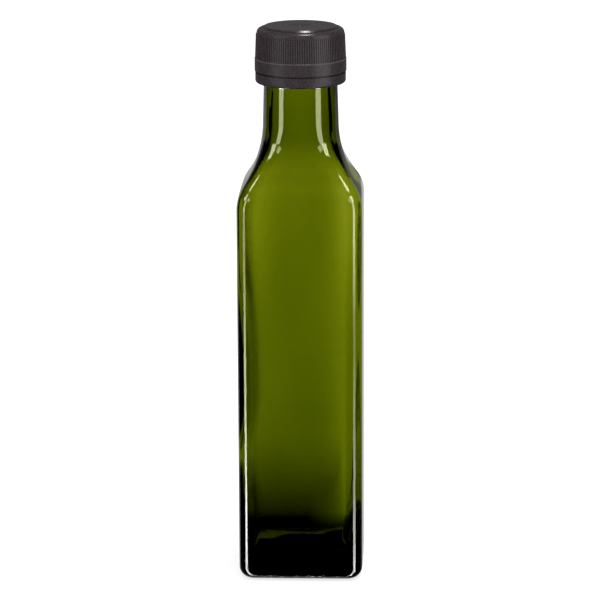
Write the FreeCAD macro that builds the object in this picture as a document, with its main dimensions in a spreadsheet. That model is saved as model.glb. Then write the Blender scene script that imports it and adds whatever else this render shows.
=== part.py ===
import FreeCAD, Part
import math
import os
import Sketcher

# A square glass bottle for oil, empty, with a black screw cap and its tamper ring.
# Millimetres. +Z is up, the bottle stands on Z = 0 and its long axis is the Z axis.

SIZES = {
    # glass, outside
    "glass_half": 23.95,         # half the width across the flats
    "glass_corner": 6.0,         # corner radius of the square body
    "glass_crown": 1.0,          # how far a flat turns from its middle to its corner, degrees
    "heel": 4.4,                 # rounding where the walls meet the base
    "push_depth": 2.0,           # hollow in the underside
    "push_half": 17.0,           # half the width of that hollow
    "shoulder_low": 145.0,       # where the flats start to lean in
    "shoulder_high": 176.3,      # where the neck is round
    "shoulder_turn": 0.28,       # share of that rise where the round shoulder turns hollow
    "neck_low": 14.42,           # neck radius above the shoulders
    "neck_high": 14.05,          # neck radius under the cap
    "neck_top": 190.0,
    "finish": 13.5,              # radius of the mouth inside the cap
    "bead_radius": 15.1,         # the ring that holds the tamper ring down
    "bead_low": 193.2,
    "bead_high": 196.2,
    "bead_under": 0.4,           # slope under the bead
    "bead_over": 0.6,            # slope over it
    "mouth": 210.7,              # height of the sealing rim
    # glass, inside
    "cavity_foot": 20.2,         # half the width above the floor, where the wall is thickest
    "cavity_half": 20.9,         # half the width under the shoulders
    "cavity_foot_corner": 5.4,
    "cavity_corner": 3.6,
    "cavity_crown": 0.6,
    "cavity_floor": 8.6,
    "cavity_heel": 5.2,
    "cavity_low": 144.5,
    "cavity_high": 176.3,
    "bore": 11.3,
    "mouth_lip": 0.8,            # rounding of the rim
    # cap
    "cap_top": 212.8,
    "cap_ceiling": 210.7,
    "cap_inner": 15.7,
    "crown_radius": 16.6,
    "crown_round": 2.0,
    "skirt_radius": 17.05,
    "collar_radius": 17.42,
    "collar_round": 0.15,
    "collar_low": 195.7,
    "collar_high": 200.6,
    "disc_radius": 13.6,         # the raised disc on top
    "disc_step": 0.7,
    "disc_round": 0.25,
    "rim_radius": 14.3,          # foot of the slope round the disc
    "dish_radius": 4.8,          # shallow cone round the gate mark
    "dish_depth": 0.2,
    "dimple": 0.8,
    "dimple_depth": 0.4,
    "rib_high": 209.8,
    "rib_width": 0.45,
    "rib_height": 0.22,
    "rib_root": 0.4,
    # tamper ring
    "ring_radius": 17.2,
    "ring_inner": 15.8,
    "ring_low": 191.1,
    "ring_high": 195.15,
    "ring_round": 1.2,           # rounding of its lower edge
    "lip_radius": 14.5,          # the lip that catches under the bead
    "lip_top": 192.3,
    "tear_radius": 16.2,         # thin wall behind the groove between ring and cap
    "tear_gap": 0.1,             # the cut over that wall
    "tab_out": 16.5,             # bridges across the cut
    "tab_in": 16.0,
    "tab_width": 1.3,
    "tab_root": 0.5,
}
RIBS = 120
TABS = 12
SECTIONS = 8                     # steps of the loft from the square body to the round neck
ROUND_CROWN = 22.5               # the crown that makes a section of eight arcs a circle, degrees
TOUCH = 1e-6                     # lengths closer than this are the same, mm
NEAR = 1e-2                      # an edge this close to its stated place is the one meant, mm

document = FreeCAD.newDocument("square_bottle")
sheet = document.addObject("Spreadsheet::Sheet", "sizes")
for row, (alias, value) in enumerate(SIZES.items(), start=1):
    sheet.set(f"A{row}", alias)
    sheet.set(f"B{row}", str(value))
    sheet.setAlias(f"B{row}", alias)
document.recompute()


def cell(alias):
    return f"sizes.{alias}"


def number(expression):
    """The value that an expression of the sheet's cells has now."""
    return float(sheet.evalExpression(str(expression).replace("sizes.", "")))


def new_body(label):
    body = document.addObject("PartDesign::Body", label)
    body.Label = label
    return body


def plane(body, role):
    return next(part for part in body.Origin.OriginFeatures if part.Role == role)


def new_sketch(body, label, role, height=None):
    """A sketch on one of the body's own planes, at a height bound to the sheet."""
    sketch = body.newObject("Sketcher::SketchObject", label)
    sketch.AttachmentSupport = [(plane(body, role), "")]
    sketch.MapMode = "FlatFace"
    if height is not None:
        sketch.setExpression("AttachmentOffset.Base.z", height)
    return sketch


def bind(sketch, kind, operands, expression):
    """One dimension of a sketch, bound to an expression."""
    index = sketch.addConstraint(Sketcher.Constraint(kind, *operands, number(expression)))
    sketch.setExpression(f"Constraints[{index}]", str(expression))


def outline(body, label, points):
    """A closed outline of straight runs, upright; each corner is a pair of expressions."""
    sketch = new_sketch(body, label, "XZ_Plane")
    places = [FreeCAD.Vector(number(x), number(y), 0) for x, y in points]
    count = len(points)
    for index in range(count):
        sketch.addGeometry(Part.LineSegment(places[index], places[(index + 1) % count]), False)
    for index, (x, y) in enumerate(points):
        sketch.addConstraint(Sketcher.Constraint("Coincident", index, 2, (index + 1) % count, 1))
        for kind, axis, expression in (("DistanceX", -2, x), ("DistanceY", -1, y)):
            if number(expression) == 0:
                sketch.addConstraint(Sketcher.Constraint("PointOnObject", index, 1, axis))
            else:
                bind(sketch, kind, (-1, 1, index, 1), expression)
    return sketch


def turn(body, label, sketch, kind="Revolution"):
    feature = body.newObject(f"PartDesign::{kind}", label)
    feature.Profile = sketch
    feature.ReferenceAxis = (sketch, ["V_Axis"])
    feature.Angle = 360
    return feature


def section(body, label, height, half, corner, crown):
    """A square with round corners and slightly crowned sides, as eight tangent arcs.

    The sides turn by the crown angle each way from their middle, the corners by the rest, so
    a crown of ROUND_CROWN degrees with equal radii is a circle.
    """
    side = (f"(({half}) - ({corner}) * (cos({crown}) - sin({crown})))"
            f" / (1 - cos({crown}) + sin({crown}))")
    side_radius, corner_radius, angle = number(side), number(corner), math.radians(number(crown))
    offset = side_radius - number(half)
    middle = (side_radius - corner_radius) * math.sin(angle)
    sketch = new_sketch(body, label, "XY_Plane", height)
    up = FreeCAD.Vector(0, 0, 1)
    for quarter in range(4):
        start = quarter * math.pi / 2
        along = FreeCAD.Vector(math.cos(start), math.sin(start), 0)
        across = FreeCAD.Vector(-math.sin(start), math.cos(start), 0)
        for centre, radius, first, last in (
            (along * -offset, side_radius, start - angle, start + angle),
            (along * middle + across * middle, corner_radius, start + angle,
             start + math.pi / 2 - angle),
        ):
            sketch.addGeometry(Part.ArcOfCircle(Part.Circle(centre, up, radius), first, last), False)
    if abs(offset) < TOUCH:
        for index in range(8):
            sketch.addConstraint(Sketcher.Constraint("Coincident", index, 3, -1, 1))
        for index in range(7):
            sketch.addConstraint(Sketcher.Constraint("Coincident", index, 2, index + 1, 1))
        bind(sketch, "Radius", (0,), half)
        return sketch
    for index in range(8):
        sketch.addConstraint(Sketcher.Constraint("Tangent", index, 2, (index + 1) % 8, 1))
    for quarter, (kind, axis, sign) in enumerate(
        (("DistanceX", -1, -1), ("DistanceY", -2, -1), ("DistanceX", -1, 1), ("DistanceY", -2, 1))
    ):
        arc = 2 * quarter
        sketch.addConstraint(Sketcher.Constraint("PointOnObject", arc, 3, axis))
        bind(sketch, kind, (-1, 1, arc, 3), f"{sign} * (({side}) - ({half}))")
        bind(sketch, "Radius", (arc,), side)
        bind(sketch, "Radius", (arc + 1,), corner)
    return sketch


def shoulder_sections(body, label, low, high, wide, narrow, corner, crown):
    """Sections along an S curve of two arcs, from the square body to the circle of the neck.

    The first arc is the round shoulder and the second the hollow under the neck. The corners
    stay tight over the round shoulder and open up only above it.
    """
    rise = f"({high} - {low})"
    drop = f"({wide} - {narrow})"
    reach = f"(({rise}^2 + {drop}^2) / (2 * {drop}))"
    turn_share = cell("shoulder_turn")
    round_arc = f"({turn_share} * {reach})"
    hollow_arc = f"((1 - {turn_share}) * {reach})"
    sketches = []
    for step in range(SECTIONS + 1):
        share = step / SECTIONS
        blend = (share * share * (3 - 2 * share)) ** 3
        if share <= number(turn_share):
            half = f"{wide} - ({round_arc} - sqrt({round_arc}^2 - ({share} * {rise})^2))"
        else:
            half = f"{narrow} + ({hollow_arc} - sqrt({hollow_arc}^2 - ({1 - share} * {rise})^2))"
        sketches.append(section(
            body, f"{label}_{step}", f"{low} + {share} * {rise}", half,
            f"{corner} + {blend} * ({narrow} - {corner})",
            f"{crown} + {blend} * ({ROUND_CROWN} - {crown})",
        ))
    return sketches


def loft(body, label, sketches, kind="AdditiveLoft"):
    feature = body.newObject(f"PartDesign::{kind}", label)
    feature.Profile = sketches[0]
    feature.Sections = sketches[1:]
    feature.Ruled = False
    return feature


def edges_where(shape, test):
    return [f"Edge{index}" for index, edge in enumerate(shape.Edges, start=1) if test(edge)]


def round_edges(body, label, radius, test):
    """Rounds the edges of the body's last feature that the test picks."""
    document.recompute()
    base = body.Tip
    names = edges_where(base.Shape, test)
    if not names:
        raise ValueError(f"{label}: no edge to round")
    feature = body.newObject("PartDesign::Fillet", label)
    feature.Base = (base, names)
    feature.Radius = number(radius)
    feature.setExpression("Radius", radius)
    document.recompute()
    return feature


def is_level(edge, height):
    box = edge.BoundBox
    return abs(box.ZMin - height) < NEAR and abs(box.ZMax - height) < NEAR


def ring_edge(radius, height, lower=0):
    """A test for the level circle of a cell's radius at a cell's height, less a given drop."""
    def test(edge):
        return (is_level(edge, number(cell(height)) - lower)
                and abs(edge.BoundBox.XMax - number(cell(radius))) < NEAR)
    return test


def pad(body, label, sketch, length):
    feature = body.newObject("PartDesign::Pad", label)
    feature.Profile = sketch
    feature.setExpression("Length", length)
    return feature


def push_up(body):
    """The shallow dome under the base, cut by a large sphere."""
    sphere = body.newObject("PartDesign::SubtractiveSphere", "push_up")
    sphere.AttachmentSupport = [(plane(body, "XY_Plane"), "")]
    sphere.MapMode = "FlatFace"
    depth, half = cell("push_depth"), cell("push_half")
    radius = f"({half}^2 + {depth}^2) / (2 * {depth})"
    sphere.setExpression("Radius", radius)
    sphere.setExpression("AttachmentOffset.Base.z", f"{depth} - {radius}")


def bottle():
    body = new_body("bottle")
    square = section(body, "base_section", "0", cell("glass_half"), cell("glass_corner"),
                     cell("glass_crown"))
    pad(body, "square_wall", square, cell("shoulder_low"))
    loft(body, "shoulders", shoulder_sections(
        body, "shoulder", cell("shoulder_low"), cell("shoulder_high"), cell("glass_half"),
        cell("neck_low"), cell("glass_corner"), cell("glass_crown")))
    turn(body, "neck", outline(body, "neck_outline", [
        ("0", cell("shoulder_high")),
        (cell("neck_low"), cell("shoulder_high")),
        (cell("neck_high"), cell("neck_top")),
        (cell("neck_high"), cell("bead_low")),
        (cell("bead_radius"), f"{cell('bead_low')} + {cell('bead_under')}"),
        (cell("bead_radius"), f"{cell('bead_high')} - {cell('bead_over')}"),
        (cell("finish"), cell("bead_high")),
        (cell("finish"), cell("mouth")),
        ("0", cell("mouth")),
    ]))
    round_edges(body, "heel_round", cell("heel"), lambda edge: is_level(edge, 0))
    push_up(body)
    foot = section(body, "cavity_foot_section", cell("cavity_floor"), cell("cavity_foot"),
                   cell("cavity_foot_corner"), cell("cavity_crown"))
    head = section(body, "cavity_head_section", cell("cavity_low"), cell("cavity_half"),
                   cell("cavity_corner"), cell("cavity_crown"))
    loft(body, "cavity", [foot, head], "SubtractiveLoft")
    loft(body, "cavity_shoulders", shoulder_sections(
        body, "cavity_shoulder", cell("cavity_low"), cell("cavity_high"), cell("cavity_half"),
        cell("bore"), cell("cavity_corner"), cell("cavity_crown")), "SubtractiveLoft")
    turn(body, "mouth_bore", outline(body, "bore_outline", [
        ("0", cell("cavity_high")),
        (cell("bore"), cell("cavity_high")),
        (cell("bore"), cell("mouth")),
        ("0", cell("mouth")),
    ]), "Groove")
    round_edges(body, "cavity_heel_round", cell("cavity_heel"),
                lambda edge: is_level(edge, number(cell("cavity_floor"))))
    round_edges(body, "mouth_round", cell("mouth_lip"), ring_edge("bore", "mouth"))
    return body


def around(body, label, feature, count):
    pattern = body.newObject("PartDesign::PolarPattern", label)
    pattern.Originals = [feature]
    pattern.Axis = (plane(body, "Z_Axis"), [""])
    pattern.Angle = 360
    pattern.Occurrences = count
    body.Tip = pattern
    return pattern


def screw_cap():
    body = new_body("screw_cap")
    top, step, dish = cell("cap_top"), cell("disc_step"), cell("dish_depth")
    turn(body, "cap_shell", outline(body, "cap_outline", [
        ("0", f"{top} - {dish} - {cell('dimple_depth')}"),
        (f"{cell('dimple')} / 2", f"{top} - {dish} - {cell('dimple_depth')}"),
        (cell("dimple"), f"{top} - {dish}"),
        (cell("dish_radius"), top),
        (cell("disc_radius"), top),
        (cell("rim_radius"), f"{top} - {step}"),
        (cell("crown_radius"), f"{top} - {step}"),
        (cell("skirt_radius"), cell("collar_high")),
        (cell("collar_radius"), cell("collar_high")),
        (cell("collar_radius"), cell("collar_low")),
        (cell("cap_inner"), cell("collar_low")),
        (cell("cap_inner"), cell("cap_ceiling")),
        ("0", cell("cap_ceiling")),
    ]))
    round_edges(body, "crown_rounding", cell("crown_round"),
                ring_edge("crown_radius", "cap_top", number(step)))
    round_edges(body, "disc_rounding", cell("disc_round"), ring_edge("disc_radius", "cap_top"))
    for height in ("collar_high", "collar_low"):
        round_edges(body, f"{height}_rounding", cell("collar_round"),
                    ring_edge("collar_radius", height))
    taper = (f"({cell('skirt_radius')} - {cell('crown_radius')})"
             f" / ({top} - {step} - {cell('collar_high')})")
    foot, head = cell("collar_high"), cell("rib_high")
    narrow = f"{cell('skirt_radius')} - {taper} * ({head} - {foot})"
    rib = pad(body, "rib", outline(body, "rib_outline", [
        (f"{cell('skirt_radius')} - {cell('rib_root')}", foot),
        (f"{cell('skirt_radius')} + {cell('rib_height')}", foot),
        (f"{narrow} + {cell('rib_height')}", f"{head} - {cell('rib_height')}"),
        (f"{narrow} - {cell('rib_root')}", head),
    ]), cell("rib_width"))
    rib.Midplane = True
    around(body, "ribs", rib, RIBS)
    return body


def tamper_ring():
    body = new_body("tamper_ring")
    turn(body, "ring_band", outline(body, "ring_outline", [
        (cell("lip_radius"), cell("ring_low")),
        (cell("ring_radius"), cell("ring_low")),
        (cell("ring_radius"), cell("ring_high")),
        (cell("tear_radius"), cell("ring_high")),
        (cell("tear_radius"), f"{cell('collar_low')} - {cell('tear_gap')}"),
        (cell("ring_inner"), f"{cell('collar_low')} - {cell('tear_gap')}"),
        (cell("ring_inner"), cell("lip_top")),
        (cell("lip_radius"), cell("lip_top")),
    ]))
    round_edges(body, "ring_rounding", cell("ring_round"), ring_edge("ring_radius", "ring_low"))
    tab = pad(body, "tab", outline(body, "tab_outline", [
        (cell("tab_in"), f"{cell('ring_high')} - {cell('tab_root')}"),
        (cell("tab_out"), f"{cell('ring_high')} - {cell('tab_root')}"),
        (cell("tab_out"), cell("collar_low")),
        (cell("tab_in"), cell("collar_low")),
    ]), cell("tab_width"))
    tab.Midplane = True
    around(body, "tabs", tab, TABS)
    return body


bodies = [bottle(), screw_cap(), tamper_ring()]
document.recompute()
for item in document.Objects:
    if "Invalid" in item.State or "Error" in item.State:
        raise RuntimeError(f"{item.Label} failed: {item.State}")
os.makedirs("parts", exist_ok=True)
for body in bodies:
    if body.Shape.isNull() or not body.Shape.isValid():
        raise RuntimeError(f"{body.Label} has no valid shape")
    print(body.Label, round(body.Shape.Volume / 1000, 2), "cm3", body.Shape.BoundBox,
          len(body.Shape.Faces), "faces")
    body.Shape.exportStep(f"parts/{body.Label}.step")
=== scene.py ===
import bmesh
import bpy
import math
from mathutils import Matrix, Vector


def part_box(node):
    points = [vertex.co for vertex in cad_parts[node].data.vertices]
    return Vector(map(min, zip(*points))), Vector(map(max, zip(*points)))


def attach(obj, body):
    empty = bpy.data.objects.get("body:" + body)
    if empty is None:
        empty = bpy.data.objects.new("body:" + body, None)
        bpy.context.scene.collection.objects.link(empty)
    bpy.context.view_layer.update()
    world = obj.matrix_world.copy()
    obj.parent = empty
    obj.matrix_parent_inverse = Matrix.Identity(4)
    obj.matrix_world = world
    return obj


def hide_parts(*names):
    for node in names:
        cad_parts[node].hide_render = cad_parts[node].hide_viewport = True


# An empty square bottle of dark olive green glass with a black ribbed screw cap.
# Metres, Z up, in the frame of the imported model.

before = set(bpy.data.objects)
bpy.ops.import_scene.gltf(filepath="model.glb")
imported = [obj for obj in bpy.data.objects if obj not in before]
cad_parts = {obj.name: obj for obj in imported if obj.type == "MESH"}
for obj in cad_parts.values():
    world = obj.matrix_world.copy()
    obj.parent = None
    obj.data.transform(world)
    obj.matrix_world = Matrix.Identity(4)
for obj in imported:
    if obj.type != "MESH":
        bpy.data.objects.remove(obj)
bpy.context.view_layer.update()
glass_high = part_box("bottle")[1]

MM = 0.001
WHITE = (1, 1, 1, 1)

# Glass, outside: half the width across the flats, the corners, the turn of each flat, the heel, the dome
# under the base, the shoulder's heights and the share of its height that its round lower arc takes
HALF = glass_high.x
CORNER = 6.0 * MM
CROWN = math.radians(1.0)
HEEL = 4.4 * MM
DOME_RADIUS = 17 * MM
DOME_RISE = 2 * MM
SHOULDER = (145 * MM, 176.3 * MM)
SHOULDER_TURN = 0.28
NECK_RADIUS = 14.42 * MM
MOUTH = glass_high.z

# The neck's finish with the bead that holds the tamper ring down: radius and height in millimetres
FINISH = [(14.05, 190.0), (14.05, 193.2), (15.1, 193.6), (15.1, 195.6), (13.5, 196.2)]
FINISH_RADIUS = 13.5 * MM

# Glass, inside, before the blown wall moves it
CAVITY_TOP_HALF = 21.0 * MM
CAVITY_FOOT_HALF = 20.3 * MM
CAVITY_CORNER = 5.2 * MM
CAVITY_FOOT_CORNER = 5.4 * MM
CAVITY_CROWN = math.radians(-1.0)
CAVITY_FLOOR = 9.0 * MM
CAVITY_HEEL = 5.3 * MM
CAVITY_SHOULDER = (144.5 * MM, 176.3 * MM)
BORE = 11.3 * MM
MOUTH_LIP = 0.8 * MM

# Blown wall, in millimetres: a single number is how far the inner skin moves, and a pair is where the
# move starts and where it is whole. The numbers of the neck and the shoulder hold at AT_RADIUS from the
# axis, and those of the flats and of the wall's waves at HALF.
BODY_FROM_FOOT = (16, 32)
BODY_FROM_TOP = (172, 148)
FROM_MIDDLE = (6, 15)
RIGHT_THINNER = 1.8
LEFT_TOP_THINNER = 1.3
LEFT_TOP = (85, 130)
LEFT_FOOT_THINNER = 1.6
LEFT_FOOT = (70, 44)
LEFT_THICKER = 0.3
RIGHT_FLATS_THINNER = 0.55
RIGHT_FLATS_TOP_THINNER = 0.4
RIGHT_FLATS_TOP = (100, 140)
LEFT_FLATS_TOP_THINNER = 0.5
LEFT_FLATS_TOP = (105, 145)
NECK_THICKER = 0.45
NECK_SPAN = (162, 173)
SHOULDER_THINNER = 0.25
SHOULDER_FROM_FOOT = (146, 154)
SHOULDER_FROM_TOP = (168, 160)
AT_RADIUS = 13
CORNER_THICKER = 0.55
CORNER_FROM_FRONT = (12, 17)
CORNER_FROM_LEFT = (13, 17)
CORNER_FROM_RIGHT = (22.5, 20)

# Waves of the blown wall and of the inner floor, in millimetres: their height, then how far across and
# how far along each wave turns by one radian
WALL_WAVE = 0.05
WALL_WAVES = [(3.1, 17), (-6, 11)]
FLOOR_WAVE = 0.12
FLOOR_WAVES = [(3.7, 5.1), (-7, 4.3)]
FLOOR_WAVE_SPAN = (15, 9)

# Steps of the glass mesh
SIDE_STEPS = 16
CORNER_STEPS = 24
ROUND_STEPS = 12
SHOULDER_STEPS = 56
WALL_STEPS = 36
MERGE_WITHIN = 0.001 * MM

# How a square section becomes a circle: its corners take nearly the whole width, its sides turn by an
# eighth of pi, and a power lets the corners open up later than the width draws in
NEARLY_ROUND = 0.9999
ROUND_CROWN = math.pi / 8
CORNER_DELAY = 3

# Going up, the cavity's corners change this many times faster than its width
CAVITY_CORNER_HASTE = 3

# Green glass: what its absorption leaves of each colour, and its strength per metre
GLASS_TINT = (0.698, 0.736, 0.0, 1)
GLASS_ABSORPTION = 1200
GLASS_INDEX = 1.5

# Cap: the ribs' foot, height, lean and span, the collar's edge, the foot of the disc and the dish
RIB_FOOT = 17.05 * MM
RIB_HEIGHT = 0.22 * MM
RIB_LEAN = 0.0385
RIB_LOW = 200.6 * MM
RIB_HIGH = 209.8 * MM
COLLAR_EDGE = 17.2 * MM
DISC_FOOT = 14.3 * MM
DISH_RADIUS = 4.8 * MM

# Where the cap's painted shade and painted highlights start and where they are whole, as heights or
# distances from its axis
RIBS_FROM_FOOT = (RIB_LOW, RIB_LOW + 0.1 * MM)
RIBS_FROM_TOP = (RIB_HIGH, RIB_HIGH - 0.3 * MM)
RIB_FLANK = (RIB_FOOT + 0.02 * MM, RIB_FOOT + RIB_HEIGHT)
EDGE_OUTWARD = (COLLAR_EDGE, COLLAR_EDGE + 0.1 * MM)
EDGE_FROM_FOOT = (RIB_LOW - 0.55 * MM, RIB_LOW - 0.35 * MM)
EDGE_FROM_TOP = (RIB_LOW + 0.1 * MM, RIB_LOW)
CAP_TOP = (RIB_HIGH, RIB_HIGH + 0.5 * MM)
# The foot of the disc's step gets painted shade between these spans
DISC_FOOT_SHADE_FROM_INSIDE = (DISC_FOOT - 0.4 * MM, DISC_FOOT - 0.1 * MM)
DISC_FOOT_SHADE_FROM_OUTSIDE = (DISC_FOOT + 0.5 * MM, DISC_FOOT + 0.1 * MM)
DISH_FROM_EDGE = (DISH_RADIUS, DISH_RADIUS - 0.6 * MM)

# Black plastic: its colours, its cloud and grain, and how much darker painted shade and lighter painted
# highlights make it
PLASTIC_DARK = (0.010, 0.005, 0.007, 1)
PLASTIC_LIGHT = (0.102, 0.077, 0.083, 1)
PLASTIC_INDEX = 1.5
TONE_SHARE = 0.5
CLOUD_SCALE = 420.0
CLOUD_DETAIL = 3.0
CLOUD_SHARE = 0.3
GRAIN_SCALE = 1900.0
GRAIN_DETAIL = 2.0
GRAIN_SHARE = 0.7
GRAIN_RANGE = (0.3, 0.7)
GRAIN_BUMP = 0.5
GRAIN_DEPTH = 0.05 * MM
ROUGHNESS = 0.16
CLOUD_ROUGHNESS = 0.2
# Painted shade in the rib grooves, at the disc's foot and in the dish; painted highlights on the rib
# crests and the collar's upper edge
GROOVE_PAINTED_SHADE = 0.9
DISC_FOOT_PAINTED_SHADE = 0.9
DISH_PAINTED_SHADE = 0.45
RIB_CREST_PAINTED_HIGHLIGHT = 0.5
COLLAR_EDGE_PAINTED_HIGHLIGHT = 1.1

# Sockets that are found by their place: Object of Texture Coordinate, the inputs that a Mix of colours
# passes over after its factor, and its result
OBJECT_COORDINATES = 3
MIX_PASSED_OVER = 5
MIXED_COLOR = 2

# View
CAMERA_AZIMUTH = math.radians(2.3)
CAMERA_PITCH = math.radians(13.6)
CAMERA_ROLL = math.radians(-0.25)
CAMERA_DISTANCE = 1.235
CAMERA_LENS = 192.2
CAMERA_SENSOR = 36
CAMERA_NEAR = 0.01
CAMERA_FAR = 20
AIM = Vector((-0.6 * MM, 0, 106 * MM))

# Top light
TOP_LIGHT_PLACE = Vector((0.12, -0.12, 0.95))
TOP_LIGHT_TARGET = Vector((0, 0, 0.2))
TOP_LIGHT_SIZE = (0.16, 0.12)
TOP_LIGHT_POWER = 2.6

# Studio, with angles in degrees: azimuth 0 is +Y, behind the bottle, and + is towards +X. ROOM_LIGHT
# lights the surfaces; rough reflections meet SHEEN_LIGHT, which is weaker behind the bottle.
ROOM_LIGHT = 1.0
SHEEN_LIGHT = 0.4
SHEEN_BEHIND = 0.3
SHEEN_TURN = (60, 130)

# Windows of light: azimuth from and to, elevation from and to, strength. Sharp reflections meet the soft
# boxes and the mirrored backdrop, and rough ones the sheen boxes.
WINDOW_SOFT = 2.4
SOFT_BOXES = [
    (-127, -110, -90, -16.5, 19),
    (-127, -110, -16.5, -14.3, 12),
    (-127, -110, -14.3, -9.5, 6),
    (-127, -112, -9.5, 24, 8.5),
    (-114, -96, 24, 43, 11),
    (-100, -78, 49, 54, 12),
    (-146, -126, 26, 35, 6),
    (110, 129, -90, -17.8, 14),
    (110, 129, -17.8, -15.2, 6),
    (110, 129, -15.2, -13.3, 2.2),
    (112, 131, -13.3, -9.5, 9),
    (113, 131, -9.5, 24, 8),
    (103, 124, 24, 43, 13),
    (78, 100, 51, 58, 14),
    (128, 148, 26, 35, 6),
]
BACKDROP_MIRRORED = [
    (-52, -4, -90, 2, 0.45),
    (-4, 8, -90, 2, 0.6),
    (8, 48, -90, 2, 0.17),
    (-50, 40, 2, 30, 0.08),
]
SHEEN_BOXES = [
    (98, 140, -90, 40, 0.9),
    (-140, -104, -90, 40, 0.4),
]

# The soft boxes' colour, and the elevations between which it turns white on the way down
SOFT_BOX_COLOR = (1, 1, 0.6, 1)
WHITE_BELOW = (-18, -15)

# The backdrop that shows through the glass: the elevations where it ends, how much higher it ends on the
# right and between which azimuths that comes in, and the azimuths of the black cards at its sides
BACKDROP_TOP = (2, 9)
BACKDROP_LIFT = 6
BACKDROP_LIFT_SPAN = (-6, 10)
WORLD_FLAG = (44, 62)

# Floor: the camera sees FLOOR_GLOW on top of the lit colour, and the glass shows FLOOR_BEHIND instead
FLOOR_RADIUS = 3.0
FLOOR_SEGMENTS = 64
FLOOR_HEIGHT = -0.2 * MM
FLOOR_COLOR = 0.45
FLOOR_GLOW = 0.72
FLOOR_BEHIND = 0.92

# Black cards that the glass shows on the floor: their azimuths, and how far from the bottle they start;
# from FLAG_RIGHT on, towards the right, the far ones start at once
FLOOR_FLAG = (39, 62)
NEAR_FLAG = (50, 62)
FLAG_START = (0.49, 0.54)
FLAG_RIGHT = (0.0, 0.02)
NEAR_FLAG_START = (0.32, 0.35)

# Shade that the glass shows on the floor: where it fades away towards the back, how fast that comes
# nearer towards the right, where it ends at the nearest, and how far from the bottle it stops anyway
SHADE_FADE = (0.036, 0.192)
SHADE_LEAN = 6
SHADE_NEAREST = (0.006, 0.034)
SHADE_STOP = (0.24, 0.16)


class Value:
    """A shader socket that takes part in Python arithmetic."""

    def __init__(self, tree, socket):
        self.tree = tree
        self.socket = socket

    def math(self, operation, *operands):
        """A Math node on the operands, which are values or numbers."""
        return self.tree.node("ShaderNodeMath", {"operation": operation}, *operands)

    def __add__(self, other):
        return self.math("ADD", self, other)

    def __sub__(self, other):
        return self.math("SUBTRACT", self, other)

    def __rsub__(self, other):
        return self.math("SUBTRACT", other, self)

    def __mul__(self, other):
        return self.math("MULTIPLY", self, other)

    __radd__ = __add__
    __rmul__ = __mul__

    def ramp(self, start, end):
        """A smooth rise from 0 at the start to 1 at the end, or a fall where the end is lower."""
        return self.tree.node("ShaderNodeMapRange", {"interpolation_type": "SMOOTHSTEP"},
                              self, start, end, 0.0, 1.0)

    def between(self, low, high):
        """A colour between two colours, by this share."""
        passed_over = [None] * MIX_PASSED_OVER
        return self.tree.node("ShaderNodeMix", {"data_type": "RGBA"},
                              self, *passed_over, low, high, output=MIXED_COLOR)


class Tree:
    """The node tree of a material or a world."""

    def __init__(self, owner):
        owner.use_nodes = True
        self.nodes = owner.node_tree.nodes
        self.links = owner.node_tree.links
        self.nodes.clear()

    def node(self, kind, settings=None, *inputs, output=0, **named):
        """Adds a node: its settings first, then values or links for its inputs."""
        made = self.nodes.new(kind)
        for setting, value in (settings or {}).items():
            setattr(made, setting, value)
        sockets = dict(enumerate(inputs))
        sockets.update((name.replace("_", " "), value) for name, value in named.items())
        for key, value in sockets.items():
            if isinstance(value, Value):
                self.links.new(value.socket, made.inputs[key])
            elif value is not None:
                made.inputs[key].default_value = value
        return Value(self, made.outputs[output]) if made.outputs else made

    def outputs(self, kind, *names, **inputs):
        """Several outputs of one new node."""
        made = self.node(kind, None, **inputs).socket.node
        return [Value(self, made.outputs[name]) for name in names]


def smooth(share):
    """The share from 0 to 1, with a gentle start and end, and level outside them."""
    share = min(max(share, 0.0), 1.0)
    return share * share * (3 - 2 * share)


def rise(value, start, end):
    """0 at the start and 1 at the end, smooth between them; the end may be the lower of the two."""
    return smooth((value - start) / (end - start))


def ripple(waves, across, along):
    """The sum of the waves at a place."""
    return sum(math.sin(across / wide + along / long) for wide, long in waves)


def section(half, corner, crown):
    """Points of a square with round corners and sides that turn by the crown angle."""
    turn = math.cos(crown) - math.sin(crown)
    side = (half - corner * turn) / (1 - math.cos(crown) + math.sin(crown))
    middle = (side - corner) * math.sin(crown)
    quarter = []
    for step in range(SIDE_STEPS):
        angle = crown * (2 * step / SIDE_STEPS - 1)
        quarter.append(Vector((half - side + side * math.cos(angle), side * math.sin(angle))))
    for step in range(CORNER_STEPS):
        angle = crown + (math.pi / 2 - 2 * crown) * step / CORNER_STEPS
        quarter.append(Vector((middle + corner * math.cos(angle), middle + corner * math.sin(angle))))
    return [Matrix.Rotation(turns * math.pi / 2, 2) @ point for turns in range(4) for point in quarter]


def circle(radius):
    """The same number of points, round a circle."""
    return section(radius, radius * NEARLY_ROUND, ROUND_CROWN)


def shoulder_half(share, wide, narrow, height):
    """Half the width along two arcs: the round shoulder, then the hollow under the neck."""
    reach = (height ** 2 + (wide - narrow) ** 2) / (2 * (wide - narrow))
    if share <= SHOULDER_TURN:
        arc = SHOULDER_TURN * reach
        return wide - arc + math.sqrt(arc ** 2 - (share * height) ** 2)
    arc = (1 - SHOULDER_TURN) * reach
    return narrow + arc - math.sqrt(arc ** 2 - ((1 - share) * height) ** 2)


def shoulder_rings(span, wide, narrow, corner, crown):
    """Rings from the square body to the round neck; the corners open up above the shoulder."""
    low, high = span
    for step in range(SHOULDER_STEPS + 1):
        share = step / SHOULDER_STEPS
        blend = smooth(share) ** CORNER_DELAY
        yield low + share * (high - low), section(
            shoulder_half(share, wide, narrow, high - low),
            corner + blend * (narrow * NEARLY_ROUND - corner),
            crown + blend * (ROUND_CROWN - crown),
        )


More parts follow.
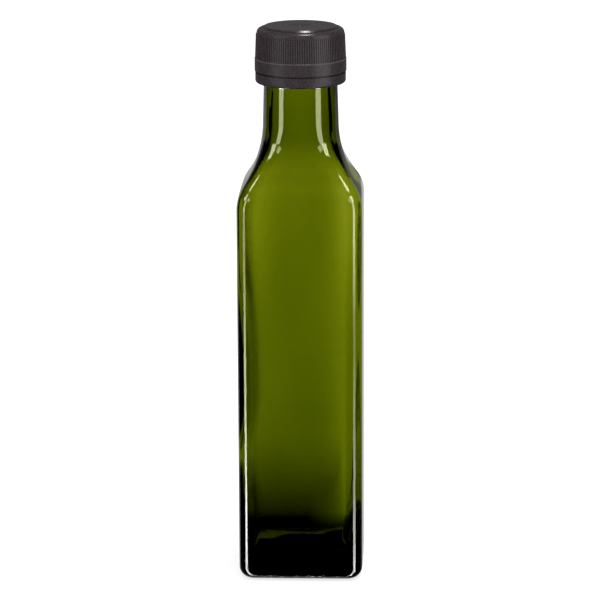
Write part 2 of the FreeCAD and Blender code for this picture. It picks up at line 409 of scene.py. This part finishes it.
def heel_rings(height, half, corner, crown, radius):
    """Rings round a quarter turn, from the level base up to the wall."""
    for step in range(ROUND_STEPS + 1):
        angle = math.pi / 2 * step / ROUND_STEPS
        inset = radius * (1 - math.sin(angle))
        yield height + radius * (1 - math.cos(angle)), section(half - inset, corner - inset, crown)


def outside_rings():
    """Rings of the outer skin, from the middle of the dome under the base to the rim."""
    ball = (DOME_RADIUS ** 2 + DOME_RISE ** 2) / (2 * DOME_RISE)
    for step in range(ROUND_STEPS + 1):
        radius = DOME_RADIUS * step / ROUND_STEPS
        yield DOME_RISE - ball + math.sqrt(ball ** 2 - radius ** 2), circle(radius)
    yield from heel_rings(0, HALF, CORNER, CROWN, HEEL)
    for step in range(1, WALL_STEPS):
        yield HEEL + (SHOULDER[0] - HEEL) * step / WALL_STEPS, section(HALF, CORNER, CROWN)
    yield from shoulder_rings(SHOULDER, HALF, NECK_RADIUS, CORNER, CROWN)
    for radius, height in FINISH:
        yield height * MM, circle(radius * MM)
    yield MOUTH, circle(FINISH_RADIUS)


def inside_rings():
    """Rings of the inner skin, from the middle of the floor to the rim."""
    for step in range(ROUND_STEPS):
        yield CAVITY_FLOOR, circle((CAVITY_FOOT_HALF - CAVITY_HEEL) * step / ROUND_STEPS)
    yield from heel_rings(CAVITY_FLOOR, CAVITY_FOOT_HALF, CAVITY_FOOT_CORNER, CAVITY_CROWN, CAVITY_HEEL)
    foot = CAVITY_FLOOR + CAVITY_HEEL
    top = CAVITY_SHOULDER[0]
    for step in range(1, WALL_STEPS):
        share = step / WALL_STEPS
        corner_share = smooth(CAVITY_CORNER_HASTE * share)
        yield foot + share * (top - foot), section(
            CAVITY_FOOT_HALF + share * (CAVITY_TOP_HALF - CAVITY_FOOT_HALF),
            CAVITY_FOOT_CORNER + corner_share * (CAVITY_CORNER - CAVITY_FOOT_CORNER),
            CAVITY_CROWN,
        )
    yield from shoulder_rings(CAVITY_SHOULDER, CAVITY_TOP_HALF, BORE, CAVITY_CORNER, CAVITY_CROWN)
    yield MOUTH - MOUTH_LIP, circle(BORE)
    yield MOUTH, circle(BORE + MOUTH_LIP)


def blown(place):
    """Moves a point of the inner skin to where the blown wall is thinner or thicker."""
    x, y, z = place / MM
    body = rise(z, *BODY_FROM_FOOT) * rise(z, *BODY_FROM_TOP)
    to_right = rise(x, *FROM_MIDDLE) * body
    to_left = rise(-x, *FROM_MIDDLE) * body
    left = (LEFT_TOP_THINNER * rise(z, *LEFT_TOP) + LEFT_FOOT_THINNER * rise(z, *LEFT_FOOT)
            - LEFT_THICKER)
    across = RIGHT_THINNER * to_right - left * to_left
    flats = (to_right * (RIGHT_FLATS_THINNER + RIGHT_FLATS_TOP_THINNER * rise(z, *RIGHT_FLATS_TOP))
             + to_left * LEFT_FLATS_TOP_THINNER * rise(z, *LEFT_FLATS_TOP))
    wave = WALL_WAVE * ripple(WALL_WAVES, x, z)
    floor_wave = FLOOR_WAVE * rise(z, *FLOOR_WAVE_SPAN) * ripple(FLOOR_WAVES, x, y)
    shoulder = SHOULDER_THINNER * rise(z, *SHOULDER_FROM_FOOT) * rise(z, *SHOULDER_FROM_TOP)
    pinch = 1 - (NECK_THICKER * rise(z, *NECK_SPAN) - shoulder) / AT_RADIUS
    corner = (CORNER_THICKER * rise(y, *CORNER_FROM_FRONT) * rise(x, *CORNER_FROM_LEFT)
              * rise(x, *CORNER_FROM_RIGHT) * body)
    deep = y * pinch * (1 + (flats + body * wave) * MM / HALF) - corner
    return Vector((x * pinch + across - corner, deep, z + floor_wave)) * MM


def rows(rings):
    """The rings as rows of places, each closed by its own first point."""
    return [[Vector((*point, height)) for point in (*points, points[0])] for height, points in rings]


def skin(name, places):
    """A closed shell over rows of places, shut where the first and last rows shrink to a point."""
    work = bmesh.new()
    grid = bmesh.ops.create_grid(work, x_segments=len(places[0]) - 1, y_segments=len(places) - 1, size=1)
    for vertex, place in zip(grid["verts"], (place for row in places for place in row)):
        vertex.co = place
    bmesh.ops.remove_doubles(work, verts=work.verts, dist=MERGE_WITHIN)
    bmesh.ops.recalc_face_normals(work, faces=work.faces)
    for face in work.faces:
        face.smooth = True
    return finished(name, work)


def finished(name, work):
    """The object of a finished bmesh."""
    mesh = bpy.data.meshes.new(name)
    work.to_mesh(mesh)
    work.free()
    return placed(name, mesh)


def placed(name, content):
    """A new object in the scene that holds a mesh, a lamp or a camera."""
    holder = bpy.data.objects.new(name, content)
    bpy.context.scene.collection.objects.link(holder)
    return holder


def glass_material():
    """Smooth green glass, deeper in colour the more of it light goes through."""
    material = bpy.data.materials.new("green_glass")
    tree = Tree(material)
    surface = tree.node("ShaderNodeBsdfPrincipled", {}, Base_Color=WHITE, Roughness=0.0,
                        IOR=GLASS_INDEX, Transmission_Weight=1.0)
    volume = tree.node("ShaderNodeVolumeAbsorption", {}, GLASS_TINT, GLASS_ABSORPTION)
    tree.node("ShaderNodeOutputMaterial", {}, surface, volume)
    return material


def plastic_material():
    """Black moulded plastic: fine grain, uneven gloss, painted shade in its hollows and painted
    highlights on its rib crests and the collar's upper edge.
    """
    material = bpy.data.materials.new("black_plastic")
    tree = Tree(material)
    place = tree.node("ShaderNodeTexCoord", output=OBJECT_COORDINATES)
    cloud = tree.node("ShaderNodeTexNoise", {}, place, None, CLOUD_SCALE, CLOUD_DETAIL)
    grain = tree.node("ShaderNodeTexNoise", {}, place, None, GRAIN_SCALE, GRAIN_DETAIL)
    x, y, z = tree.outputs("ShaderNodeSeparateXYZ", "X", "Y", "Z", Vector=place)
    reach = x.math("SQRT", x * x + y * y)
    ribbed = z.ramp(*RIBS_FROM_FOOT) * z.ramp(*RIBS_FROM_TOP)
    groove = 1 - (reach + RIB_LEAN * (z - RIB_LOW)).ramp(*RIB_FLANK)
    collar_edge_highlight = reach.ramp(*EDGE_OUTWARD) * z.ramp(*EDGE_FROM_FOOT) * z.ramp(*EDGE_FROM_TOP)
    top = z.ramp(*CAP_TOP)
    disc_foot_shade = top * reach.ramp(*DISC_FOOT_SHADE_FROM_INSIDE) * reach.ramp(*DISC_FOOT_SHADE_FROM_OUTSIDE)
    dish = top * reach.ramp(*DISH_FROM_EDGE)
    tone = CLOUD_SHARE * cloud + GRAIN_SHARE * grain.ramp(*GRAIN_RANGE)
    # Painted shade in the grooves between the ribs
    tone = tone * (1 - GROOVE_PAINTED_SHADE * ribbed * groove)
    # Painted shade at the foot of the disc's step and in the dish
    tone = tone * (1 - DISC_FOOT_PAINTED_SHADE * disc_foot_shade) * (1 - DISH_PAINTED_SHADE * dish)
    # Painted highlights on the rib crests and on the collar's upper edge
    tone = tone + RIB_CREST_PAINTED_HIGHLIGHT * ribbed * (1 - groove) + COLLAR_EDGE_PAINTED_HIGHLIGHT * collar_edge_highlight
    bump = tree.node("ShaderNodeBump", {}, GRAIN_BUMP, GRAIN_DEPTH, None, grain)
    surface = tree.node("ShaderNodeBsdfPrincipled", {}, IOR=PLASTIC_INDEX, Normal=bump,
                        Base_Color=(TONE_SHARE * tone).between(PLASTIC_DARK, PLASTIC_LIGHT),
                        Roughness=ROUGHNESS + CLOUD_ROUGHNESS * cloud)
    tree.node("ShaderNodeOutputMaterial", {}, surface)
    return material


def bottle():
    """The glass: the outer skin up to the rim, then the inner skin back down, as one closed shell."""
    outside = rows(outside_rings())
    inside = [[blown(place) for place in row] for row in rows(inside_rings())]
    piece = skin("glass_bottle", outside + inside[::-1])
    piece.data.materials.append(glass_material())
    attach(piece, "root")
    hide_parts("bottle")


def closure():
    """The cap and the tamper ring keep their own shapes and get the plastic."""
    plastic = plastic_material()
    for node in ("screw_cap", "tamper_ring"):
        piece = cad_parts[node]
        piece.data.materials.clear()
        piece.data.materials.append(plastic)


def window(side, height, box):
    """The box's strength inside its azimuths and elevations, with soft edges, and 0 outside."""
    left, right, low, high, strength = box
    half = WINDOW_SOFT / 2
    return (side.ramp(left - half, left + half) * side.ramp(right + half, right - half)
            * height.ramp(low - half, low + half) * height.ramp(high + half, high - half) * strength)


def flag(side, low, high):
    """1 where black cards stand on both sides of the backdrop, between two azimuths."""
    away = side.math("ABSOLUTE", side)
    half = WINDOW_SOFT / 2
    return away.ramp(low - half, low + half) * away.ramp(high + half, high - half)


def studio():
    """A low backdrop with black cards at its sides, and soft boxes beside and above the camera."""
    world = bpy.data.worlds.new("studio")
    bpy.context.scene.world = world
    tree = Tree(world)
    seen, glossy, through, sharp = tree.outputs(
        "ShaderNodeLightPath",
        "Is Camera Ray", "Is Glossy Ray", "Is Transmission Ray", "Is Singular Ray",
    )
    direction = tree.node("ShaderNodeTexCoord")
    x, y, z = tree.outputs("ShaderNodeSeparateXYZ", "X", "Y", "Z", Vector=direction)
    side = x.math("ARCTAN2", x, y) * math.degrees(1)
    height = z.math("ARCSINE", z) * math.degrees(1)
    mirrored = glossy * (1 - through)
    boxes = mirrored * sharp * sum(window(side, height, box) for box in SOFT_BOXES)
    color = height.ramp(*WHITE_BELOW).between(WHITE, SOFT_BOX_COLOR)
    low, high = BACKDROP_TOP
    above = height - BACKDROP_LIFT * side.ramp(*BACKDROP_LIFT_SPAN)
    behind = above.ramp(high, low) * (1 - flag(side, *WORLD_FLAG))
    turned = side.math("ABSOLUTE", side).ramp(*SHEEN_TURN)
    sheen = SHEEN_LIGHT * (SHEEN_BEHIND + (1 - SHEEN_BEHIND) * turned)
    sheen = sheen + sum(window(side, height, box) for box in SHEEN_BOXES)
    backdrop = sum(window(side, height, box) for box in BACKDROP_MIRRORED)
    plain = (
        ROOM_LIGHT * (1 - seen) * (1 - glossy) * (1 - through)
        + seen
        + through * behind
        + mirrored * (sheen * (1 - sharp) + sharp * backdrop)
    )
    light = tree.node(
        "ShaderNodeAddShader", {},
        tree.node("ShaderNodeBackground", {}, WHITE, plain),
        tree.node("ShaderNodeBackground", {}, color, boxes),
    )
    tree.node("ShaderNodeOutputWorld", {}, light)


def floor():
    """A white floor that keeps the shadow; through the glass it shows a shade and black cards."""
    work = bmesh.new()
    bmesh.ops.create_circle(work, cap_ends=True, segments=FLOOR_SEGMENTS, radius=FLOOR_RADIUS)
    bmesh.ops.translate(work, verts=work.verts, vec=(0, 0, FLOOR_HEIGHT))
    piece = finished("floor", work)
    material = bpy.data.materials.new("white_floor")
    tree = Tree(material)
    seen, through = tree.outputs("ShaderNodeLightPath", "Is Camera Ray", "Is Transmission Ray")
    place = tree.node("ShaderNodeTexCoord", output=OBJECT_COORDINATES)
    x, y = tree.outputs("ShaderNodeSeparateXYZ", "X", "Y", Vector=place)
    reach = x.math("SQRT", x * x + y * y)
    lean = SHADE_LEAN * x.math("MAXIMUM", x, 0.0)
    open_floor = (y + lean).ramp(*SHADE_FADE) * y.ramp(*SHADE_NEAREST)
    shade = (1 - open_floor) * reach.ramp(*SHADE_STOP)
    side = x.math("ARCTAN2", x, y) * math.degrees(1)
    far_start = reach.math("MAXIMUM", reach.ramp(*FLAG_START), x.ramp(*FLAG_RIGHT))
    far_cards = flag(side, *FLOOR_FLAG) * far_start
    near_cards = flag(side, *NEAR_FLAG) * reach.ramp(*NEAR_FLAG_START)
    cards = reach.math("MAXIMUM", far_cards, near_cards)
    behind = (1 - shade) * (1 - cards) * FLOOR_BEHIND
    lit = tree.node("ShaderNodeBsdfDiffuse", {}, (FLOOR_COLOR, FLOOR_COLOR, FLOOR_COLOR, 1))
    glow = tree.node("ShaderNodeEmission", {}, WHITE, seen * FLOOR_GLOW)
    plain = tree.node("ShaderNodeAddShader", {}, lit, glow)
    backdrop = tree.node("ShaderNodeEmission", {}, WHITE, behind)
    surface = tree.node("ShaderNodeMixShader", {}, through, plain, backdrop)
    tree.node("ShaderNodeOutputMaterial", {}, surface)
    piece.data.materials.append(material)
    piece.visible_glossy = False


def top_light():
    """A small lamp high above the bottle, a little to its front and right."""
    lamp = bpy.data.lights.new("top_light", "AREA")
    lamp.shape = "RECTANGLE"
    lamp.size, lamp.size_y = TOP_LIGHT_SIZE
    lamp.energy = TOP_LIGHT_POWER
    light = placed("top_light", lamp)
    light.location = TOP_LIGHT_PLACE
    light.rotation_euler = (TOP_LIGHT_TARGET - TOP_LIGHT_PLACE).to_track_quat("-Z", "Y").to_euler()
    light.visible_camera = False
    light.visible_transmission = False


def camera():
    """A long lens a little to the right of the front, looking down at the middle of the bottle."""
    lens = bpy.data.cameras.new("camera")
    lens.lens = CAMERA_LENS
    lens.sensor_width = CAMERA_SENSOR
    lens.clip_start = CAMERA_NEAR
    lens.clip_end = CAMERA_FAR
    view = placed("camera", lens)
    back = Vector((
        math.sin(CAMERA_AZIMUTH) * math.cos(CAMERA_PITCH),
        -math.cos(CAMERA_AZIMUTH) * math.cos(CAMERA_PITCH),
        math.sin(CAMERA_PITCH),
    ))
    view.location = AIM + back * CAMERA_DISTANCE
    turn = (-back).to_track_quat("-Z", "Y").to_matrix() @ Matrix.Rotation(CAMERA_ROLL, 3, "Z")
    view.rotation_euler = turn.to_euler()
    bpy.context.scene.camera = view


camera()
studio()
floor()
top_light()
bottle()
closure()

bpy.context.scene.view_settings.view_transform = "Standard"
